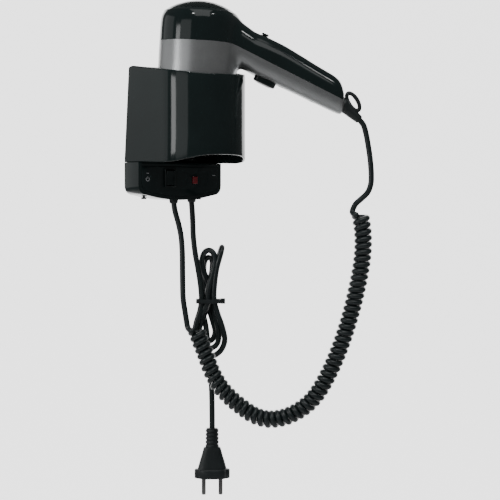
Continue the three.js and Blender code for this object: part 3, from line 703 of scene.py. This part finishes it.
def relief_local(p):
    c, s = math.cos(math.radians(RELIEF_ANGLE)), math.sin(math.radians(RELIEF_ANGLE))
    dx, dz = p[:, 0] - RELIEF_START[0], p[:, 2] - RELIEF_START[1]
    along = c * dx - s * dz
    return along, np.hypot(p[:, 1], s * dx + c * dz)


def relief_hole(p):
    along, off = relief_local(p)
    return np.maximum(off - 7.9, -10 - along)


def button_slot(p):
    u, v, w = handle_local(p, *BUTTON)
    return np.maximum(rounded_box_distance(u, v, 26.2, 13.6, 6.2), np.abs(w) - 9)


def knob_slot(p):
    u, v, w = handle_local(p, *KNOB)
    return np.maximum(rounded_box_distance(u, v, 13, 4.6, 1.6), np.abs(w) - 9)


def screw_holes(p):
    out = np.full(len(p), 50.0)
    for x in SCREW_STATIONS:
        u, v, w = handle_local(p, x, seam_height(np.array([float(x)]))[0], HANDLE_LEAN)
        out = np.minimum(out, np.maximum(np.hypot(u, v) - 3.3, w + 5))
    return out


def shell_mesh(name, points, faces, side):
    bm = bmesh.new()
    made = [bm.verts.new(p) for p in points]
    for face in faces:
        bm.faces.new([made[k] for k in face])
    cut_where(bm, lambda p: side * (p[:, 2] - seam_height(p[:, 0])) - SEAM_GROOVE / 2)
    if side > 0:
        cut_where(bm, lambda p: BARREL_TOP - p[:, 2])
        cut_where(bm, knob_slot)
    else:
        cut_where(bm, lambda p: p[:, 2] - BARREL_BOTTOM)
        cut_where(bm, button_slot)
        cut_where(bm, screw_holes)
    cut_where(bm, relief_hole)
    mesh = applied(mesh_from_bm(name, bm), walls(2.3))
    return finish_mesh(mesh, DRYER, 50)


def make_shells():
    points, faces = surface_net(dryer_distance, (-46, -46, -113), (167, 46, 39), 2.0)
    rear = shell_mesh("rear_shell_visual", points, faces, 1)
    add_object("rear_shell_visual", rear, BLACK_GLOSS, "dryer", ("rear_shell",))
    front = shell_mesh("front_shell_visual", points, faces, -1)
    add_object("front_shell_visual", front, SILVER_PAINT, "dryer", ("front_shell",))


DOME_BASE = 39.8
DOME_HEIGHT = 13.2
DOME_FOOT = 33.6
DOME_SHEET = 43
HOLES_WITHIN = 36.5
HOLE_PITCH = 2.9
HOLE_RADIUS = 1.0


def make_dome():
    """The intake grille: a hexagonal sheet of cells, most with a hole, pressed into a shallow dome."""
    radius = (DOME_BASE**2 + DOME_HEIGHT**2) / (2 * DOME_HEIGHT)
    bm = bmesh.new()
    corner = HOLE_PITCH / math.sqrt(3)
    known = {}

    def vert(x, y):
        key = (round(x, 2), round(y, 2))
        if key not in known:
            known[key] = bm.verts.new((x, y, 0))
        return known[key]

    rows = int(44 / (HOLE_PITCH * 0.866)) + 1
    for row in range(-rows, rows + 1):
        for column in range(-17, 18):
            x = (column + (row % 2) / 2) * HOLE_PITCH
            y = row * HOLE_PITCH * math.sqrt(3) / 2
            if math.hypot(x, y) > DOME_SHEET:
                continue
            rim = []
            for k in range(6):
                a, b = (math.radians(30 + 60 * q) for q in (k, k + 1))
                ca = (x + corner * math.cos(a), y + corner * math.sin(a))
                cb = (x + corner * math.cos(b), y + corner * math.sin(b))
                rim += [vert(*ca), vert((ca[0] + cb[0]) / 2, (ca[1] + cb[1]) / 2)]
            if math.hypot(x, y) < HOLES_WITHIN:
                turns = [math.radians(30 + 30 * k) for k in range(12)]
                spots = [(x + HOLE_RADIUS * math.cos(a), y + HOLE_RADIUS * math.sin(a), 0) for a in turns]
                hole = [bm.verts.new(spot) for spot in spots]
                for k in range(12):
                    bm.faces.new((rim[k], rim[(k + 1) % 12], hole[(k + 1) % 12], hole[k]))
            else:
                bm.faces.new(rim)
    cut_where(bm, lambda p: DOME_BASE - np.hypot(p[:, 0], p[:, 1]))
    for v in bm.verts:
        v.co.z = math.sqrt(radius**2 - v.co.x**2 - v.co.y**2) - (radius - DOME_HEIGHT) + DOME_FOOT
    mesh = applied(mesh_from_bm("intake_grille_visual", bm), walls(1.7))
    add_object("intake_grille_visual", finish_mesh(mesh, DRYER, 45), BLACK_GLOSS, "dryer",
               ("intake_grille",))


def relief_place():
    return (DRYER @ Matrix.Translation((RELIEF_START[0], 0, RELIEF_START[1]))
            @ Matrix.Rotation(math.radians(90 + RELIEF_ANGLE), 4, "Y"))


def torus_mesh(name, major, minor, thick_u, thick_v, sides=56, section=14):
    """An oval ring lying in XY with an oval section."""
    rings = []
    for i in range(sides):
        a = 2 * math.pi * i / sides
        ring = []
        for j in range(section):
            b = 2 * math.pi * j / section
            wide, deep = major + thick_u * math.cos(b), minor + thick_u * math.cos(b)
            ring.append((wide * math.cos(a), deep * math.sin(a), thick_v * math.sin(b)))
        rings.append(ring)
    rings.append(rings[0])
    return welded(name, loft_mesh(name, rings, capped=False))


def make_relief():
    profile = [(0, -5.5), (6.8, -5.5), (7.5, -4.8), (7.5, 3.4), (8.2, 4.4), (8.3, 6.4), (7.9, 7.6),
               (7.2, 9.4), (6.5, 13), (6.0, 18), (5.4, 23), (4.9, 27), (4.6, 29.4), (4.2, 30.3),
               (3.4, 30.5), (0, 30.5)]
    sleeve = turned_mesh("sleeve", profile, 40)
    sleeve.transform(relief_place())
    loop = torus_mesh("loop", 10.8, 4.9, 2.4, 2.5)
    loop.transform(DRYER @ Matrix.Translation((174, 0, -55)) @ Matrix.Rotation(math.radians(55), 4, "Y")
                   @ Matrix.Rotation(math.radians(90), 4, "X"))
    tab = applied(box_mesh("tab", (3.2, 4.2, 5.2)), rounding(1.2, 3))
    tab.transform(DRYER @ Matrix.Translation((177.6, 0, -67.0)) @ Matrix.Rotation(math.radians(38), 4, "Y"))
    mesh = joined("strain_relief_visual", sleeve, loop, tab)
    add_object("strain_relief_visual", finish_mesh(mesh, Matrix.Identity(4), 50), SOFT_RUBBER, "dryer",
               ("strain_relief",))


def box_mesh(name, size):
    bm = bmesh.new()
    bmesh.ops.create_cube(bm, size=1)
    bmesh.ops.scale(bm, vec=size, verts=bm.verts)
    return mesh_from_bm(name, bm)


def pad_mesh(name, length, width, radius, low, high, crown, edge):
    """A rounded-rectangle pad from low to high with a domed top and a rounded rim."""
    sides = 64
    outline = []
    for i in range(sides):
        a = 2 * math.pi * i / sides
        corner_u = math.copysign(length / 2 - radius, math.cos(a))
        corner_v = math.copysign(width / 2 - radius, math.sin(a))
        outline.append((corner_u, corner_v, math.cos(a), math.sin(a)))

    def ring(inset, z):
        r = max(radius - inset, 0.05)
        extra = max(inset - radius, 0)
        shrink = 1 - extra / min(length, width) * 2
        return [((cu * shrink + r * c), (cv * shrink + r * s), z) for cu, cv, c, s in outline]

    rings = [ring(0, low), ring(0, high - edge)]
    for k in (1, 2, 3):
        a = math.radians(30 * k)
        rings.append(ring(edge * (1 - math.cos(a)), high - edge + edge * math.sin(a)))
    rings.append(ring(radius * 0.6 + edge, high + crown * 0.7))
    rings.append(ring(radius * 0.95 + edge, high + crown))
    return outward_faces(loft_mesh(name, rings))


def make_controls():
    flip = Matrix.Rotation(math.pi, 4, "X")
    button = pad_mesh("press_button_visual", 25.6, 13, 5.6, -5, 5.4, 0.9, 1.9)
    button = finish_mesh(button, handle_place(*BUTTON) @ flip, 50)
    add_object("press_button_visual", button, BLACK_GLOSS, "press_switch", ("press_button",))
    cap = pad_mesh("cap", 8, 10, 2, 0.5, 2.4, 0.25, 0.7)
    ribs = []
    for u in (-2.2, 0, 2.2):
        rib = applied(box_mesh("rib", (0.9, 7, 0.9)), rounding(0.3, 2))
        rib.transform(Matrix.Translation((u, 0, 2.5)))
        ribs.append(rib)
    stem = box_mesh("stem", (5, 3.8, 8))
    stem.transform(Matrix.Translation((0, 0, -3)))
    knob = finish_mesh(joined("slide_knob_visual", cap, stem, *ribs), handle_place(*KNOB), 50)
    add_object("slide_knob_visual", knob, BLACK_GLOSS, "slide_switch", ("slide_knob",))


make_shells()
make_dome()
make_relief()
make_controls()


# ---------------------------------------------------------------- holster and switch box
HALF_WIDTH = 57.2
NOSE_HALF_WIDTH = 51.3
NOSE_CENTRE_OUT = 62
NOSE_LENGTH = 49.5
HOLSTER_WALL = 2.5
BACK_WALL_OUT = 5.8
PLATE_RECESS_OUT = 3.3
RIM_AT_WALL = 75
RIM_SLOPE = 0.126
RIM_ROUND = 1.25
RIM_LEVEL_OUT = 8
CASING_REACH = 50
PANEL_FRONT = -27.36
CASING_TOP = -33.5
LOWER_EDGE = [(0, -32.6), (33, -33.3), (62, -34.4), (80, -33.4), (94, -30.2), (105, -26.8), (117, -25.2)]
LOWER_TABLE = soft_table(LOWER_EDGE, 3.0)


def rim_height(out):
    """The rim falls away from the wall in a straight slope, after a curved start."""
    if out >= RIM_LEVEL_OUT:
        return RIM_AT_WALL - out * RIM_SLOPE
    t = math.sqrt(out / RIM_LEVEL_OUT)
    corner, slope_start = RIM_AT_WALL - 0.5, RIM_AT_WALL - RIM_LEVEL_OUT * RIM_SLOPE
    return (1 - t) ** 2 * (RIM_AT_WALL - RIM_LEVEL_OUT) + 2 * t * (1 - t) * corner + t * t * slope_start


def lower_height(out):
    """Over the lower casing the holster comes down to meet it; further out it follows its own edge."""
    edge = float(np.interp(out, LOWER_TABLE[0], LOWER_TABLE[1][0]))
    return min(edge, CASING_TOP + 0.1) if out < CASING_REACH else edge


def holster_loop(inset, back):
    """Plan points: along the back, up one side, round the nose and back down the other side."""
    side = HALF_WIDTH - inset
    spine = [(-(side - 0.01), back), (-(HALF_WIDTH - HOLSTER_WALL) + 0.02 * inset, back)]
    loop = [(x, out) for x, out in spine]
    middle_back = PLATE_RECESS_OUT if back == 0 else back
    reach = HALF_WIDTH - HOLSTER_WALL - 0.1
    for k in range(9):
        loop.append((reach * (k / 4 - 1), middle_back))
    loop += [(-x, out) for x, out in reversed(spine)]
    stations = [0.8, 2, 3.6, 5.6, 8, 14, 24, 36, 50, NOSE_CENTRE_OUT]
    side_outs = [back + (NOSE_CENTRE_OUT - back) * out / NOSE_CENTRE_OUT for out in stations]
    loop += [(side, out) for out in side_outs]
    for k in range(1, 48):
        a = math.pi * k / 48
        loop.append((side * math.cos(a), NOSE_CENTRE_OUT + (NOSE_LENGTH - inset) * math.sin(a)))
    loop += [(-side, out) for out in reversed(side_outs)]
    return loop


def holster_taper(out, z):
    """The sides close in towards the nose, and at the wall towards the top."""
    rise = max(0, (z - CASING_TOP) / (RIM_AT_WALL - CASING_TOP))
    forward = min(1, out / NOSE_CENTRE_OUT)
    return 1 - (forward + rise * (1 - forward)) * (1 - NOSE_HALF_WIDTH / HALF_WIDTH)


def make_holster():
    outer, inner = holster_loop(0, 0), holster_loop(HOLSTER_WALL, BACK_WALL_OUT)
    steps = 6
    columns = []
    for (xo, oo), (xi, oi) in zip(outer, inner):
        column = []
        high, low = rim_height((oo + oi) / 2), lower_height((oo + oi) / 2)
        half = RIM_ROUND
        path = []
        for k in range(5):
            path.append((0.0, low + half + (high - low - 2 * half) * k / 4))
        for k in range(1, steps):
            a = math.pi * k / steps
            path.append(((1 - math.cos(a)) / 2, high - half + half * math.sin(a)))
        for k in range(5):
            path.append((1.0, high - half - (high - low - 2 * half) * k / 4))
        for k in range(1, steps):
            a = math.pi * k / steps
            path.append(((1 + math.cos(a)) / 2, low + half - half * math.sin(a)))
        for across, z in path:
            out = oo + (oi - oo) * across
            column.append(((xo + (xi - xo) * across) * holster_taper(out, z), -out, z))
        columns.append(column)
    columns.append(columns[0])
    mesh = welded("holster_shell_visual", loft_mesh("holster", columns, capped=False))
    mesh = finish_mesh(mesh, WALL, 50)
    add_object("holster_shell_visual", mesh, BLACK_GLOSS, "wall_unit", ("holster_shell",))


def print_and_highlight_line(name, points, width, closed_line=False):
    """A line on the front panel, drawn in (x, z), a tenth of a millimetre proud; used for the printed marks
    and for one painted highlight.
    """
    line = np.array([(x, PANEL_FRONT, z) for x, z in points])
    half = width / 2
    quads, verts = [], []
    count = len(line)
    for i in range(count):
        if closed_line:
            along = line[(i + 1) % count] - line[i - 1]
        else:
            along = line[min(i + 1, count - 1)] - line[max(i - 1, 0)]
        side = np.array([-along[2], 0, along[0]]) / np.linalg.norm(along) * half
        verts += [line[i] + side, line[i] - side]
    for i in range(count if closed_line else count - 1):
        j = (i + 1) % count
        quads.append((2 * i, 2 * i + 1, 2 * j + 1, 2 * j))
    mesh = applied(raw_mesh(name, verts, quads), ("SOLIDIFY", {"thickness": 0.1, "offset": 0}))
    return outward_faces(mesh)


def make_marks():
    turns = [math.radians(a) for a in range(40, 321, 20)]
    power = [(-45 + 2.2 * math.sin(a), -52 + 2.2 * math.cos(a)) for a in turns]
    marks = [
        print_and_highlight_line("power_arc", power, 0.7),
        print_and_highlight_line("power_bar", [(-45, -49.2), (-45, -51.6)], 0.7),
        print_and_highlight_line("left_dash", [(-46.6, -45.6), (-43.4, -45.6)], 0.7),
        # The right dash is not print: it is a painted highlight near the panel's rounded right edge.
        print_and_highlight_line("painted_highlight_dash", [(44.6, -47), (48.8, -47)], 0.8),
    ]
    mesh = finish_mesh(joined("panel_marks", *marks), WALL, 50)
    add_object("panel_marks", mesh, PRINT_AND_HIGHLIGHT_WHITE, "wall_unit")


make_holster()
for node, width in (("lower_casing", 0.9), ("front_panel", 0.25), ("rocker_frame", 0.5)):
    refined_copy(node, width, material=BLACK_GLOSS, body="wall_unit")
refined_copy("rocker_button", 0.35, material=BLACK_GLOSS, body="rocker")
refined_copy("indicator_lens", 0.7, 4, material=RED_LENS, body="wall_unit")
make_marks()


def chin_height(x):
    """The casing's underside curves up towards its corners."""
    return -75 + 5.5 * (x / 46.2) ** 2


def make_glands():
    profile = [(0, -3.8), (3.6, -3.8), (4.2, -3.5), (4.5, -2.9), (4.9, -1.2), (5.1, 0), (5.1, 4.4),
               (7, 4.4), (7, 7), (0, 7)]
    for node, x in (("curly_gland", -2), ("mains_gland", 23)):
        mesh = turned_mesh(node + "_visual", profile, 36)
        mesh = finish_mesh(mesh, WALL @ Matrix.Translation((x, -17, chin_height(x))), 50)
        add_object(node + "_visual", mesh, SOFT_RUBBER, "wall_unit", (node,))


make_glands()


# ---------------------------------------------------------------- plug and tie
PLUG_ALONG = 52
PLUG_AWAY = 4
PLUG_SHOULDER = -354.5
PLUG_TOP = -333
RELIEF_RADIUS = 7.6
PIN_APART = 19


def rounded_ring(width, depth, z, power=4.0, sides=56):
    ring = []
    for i in range(sides):
        a = 2 * math.pi * i / sides
        c, s = math.cos(a), math.sin(a)
        reach = (abs(c) ** power + abs(s) ** power) ** (-1 / power)
        ring.append((width / 2 * reach * c, depth / 2 * reach * s, z))
    return ring


def lobed_ring(scale, z, sides=96):
    """The plug's flange: a rounded middle with a smaller round lobe at either side."""
    ring = []
    for i in range(sides):
        a = 2 * math.pi * i / sides
        c, s = math.cos(a), math.sin(a)
        middle = (abs(c / 16.2) ** 3 + abs(s / 13.5) ** 3) ** (-1 / 3)
        lobe_centre, lobe = 13.4, 6.6
        under = lobe**2 - (lobe_centre * s) ** 2
        reach = lobe_centre * abs(c) + math.sqrt(under) if under > 0 else 0
        distance = float(-ease_min(np.array(-middle), np.array(-reach), 2.0)) if reach else middle
        ring.append((distance * c * scale, distance * s * scale, z))
    return ring


def make_plug():
    place = HANG @ Matrix.Translation((PLUG_ALONG, PLUG_AWAY, 0))
    relief = [(0, PLUG_SHOULDER - 0.1), (RELIEF_RADIUS, PLUG_SHOULDER - 0.1)]
    ribs = 5
    pitch = (PLUG_TOP - PLUG_SHOULDER) / ribs
    for i in range(ribs):
        z, r = PLUG_SHOULDER + i * pitch, RELIEF_RADIUS - 0.08 * i
        relief += [(r, z + 0.2), (r, z + pitch * 0.55), (r - 0.3, z + pitch * 0.68),
                   (r - 0.9, z + pitch * 0.74), (r - 0.9, z + pitch * 0.96)]
    relief += [(6.6, PLUG_TOP - 0.3), (6.0, PLUG_TOP), (0, PLUG_TOP)]
    mesh = finish_mesh(turned_mesh("plug_strain_relief_visual", relief, 40), place, 50)
    sleeve = add_object("plug_strain_relief_visual", mesh, SOFT_RUBBER, "wall_unit",
                        ("plug_strain_relief",))
    sections = [(16.0, 13.0, -354.3), (18.2, 14.0, -354.6), (19.4, 14.4, -355.4), (20.8, 14.9, -358),
                (22.8, 15.4, -361.6), (24.8, 15.9, -365), (27.6, 16.8, -369.5), (30.2, 17.8, -374),
                (32.4, 19, -378), (33.4, 20, -380.4)]
    body = loft_mesh("body", [rounded_ring(w, d, z, 3.2) for w, d, z in sections])
    levels = [(0.93, -379), (0.975, -379.3), (1.0, -380.2), (1.0, -388.4), (0.985, -389.2), (0.95, -389.5)]
    flange = loft_mesh("flange", [lobed_ring(scale, z) for scale, z in levels])
    mesh = finish_mesh(outward_faces(joined("plug_body_visual", body, flange)), place, 45)
    plug = add_object("plug_body_visual", mesh, SOFT_RUBBER, "wall_unit", ("plug_body",))
    pins = []
    profile = [(0, -389), (2.4, -389), (2.4, -406.9), (2.2, -407.7), (1.7, -408.3),
               (1.0, -408.5), (0, -408.5)]
    for node, side in (("plug_pin_left", -1), ("plug_pin_right", 1)):
        mesh = turned_mesh(node + "_visual", profile, 28)
        mesh = finish_mesh(outward_faces(mesh),
                           place @ Matrix.Translation((side * PIN_APART / 2, 0, 0)), 50)
        pins.append(add_object(node + "_visual", mesh, PIN_METAL, "wall_unit", (node,)))
    return [sleeve, plug, *pins]


def make_tie():
    return refined_copy("hank_tie", 0.6, 3, material=SOFT_RUBBER, body="wall_unit")


plug_pieces = [*make_plug(), make_tie()]


def make_cords():
    curly = curly_line()
    mesh = tube_mesh("curly_cord", curly, LEAD_DIAMETER / 2, LEAD_SIDES, HANG)
    piece = add_object("curly_cord", mesh, CORD_SHEATH, None,
                       ("curly_lead_handle", "curly_coil", "curly_lead_base"), smooth=True)
    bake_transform(piece)
    mains = even_route(smooth_route(MAINS_ROUTE, 2), MAINS_STEP)
    mesh = tube_mesh("mains_cord", mains, LEAD_DIAMETER / 2, LEAD_SIDES, HANG)
    piece = add_object("mains_cord", mesh, CORD_SHEATH, "wall_unit",
                       ("mains_lead_upper", "mains_hank", "mains_lead_lower"), smooth=True)


make_cords()

# ---------------------------------------------------------------- CAD nodes that stay
NODE_LOOKS = {
    "black_gloss": BLACK_GLOSS, "silver_paint": SILVER_PAINT, "dark_inside": DARK_INSIDE, "steel": STEEL,
    "cord_rubber": SOFT_RUBBER, "pin_metal": PIN_METAL, "mica": MICA, "board": BOARD, "pale_plastic": NYLON,
    "red_lens": RED_LENS,
}


def finish_nodes():
    """Gives every CAD node its own material; the casing screws are blackened."""
    for entry in frame["record"]["subparts"]:
        node = bpy.data.objects.get(entry["node"])
        if node is None:
            continue
        for slot in node.material_slots:
            blackened = entry["node"].startswith("casing_screw")
            slot.material = DARK_INSIDE if blackened else NODE_LOOKS[entry["material_slot"]]


finish_nodes()
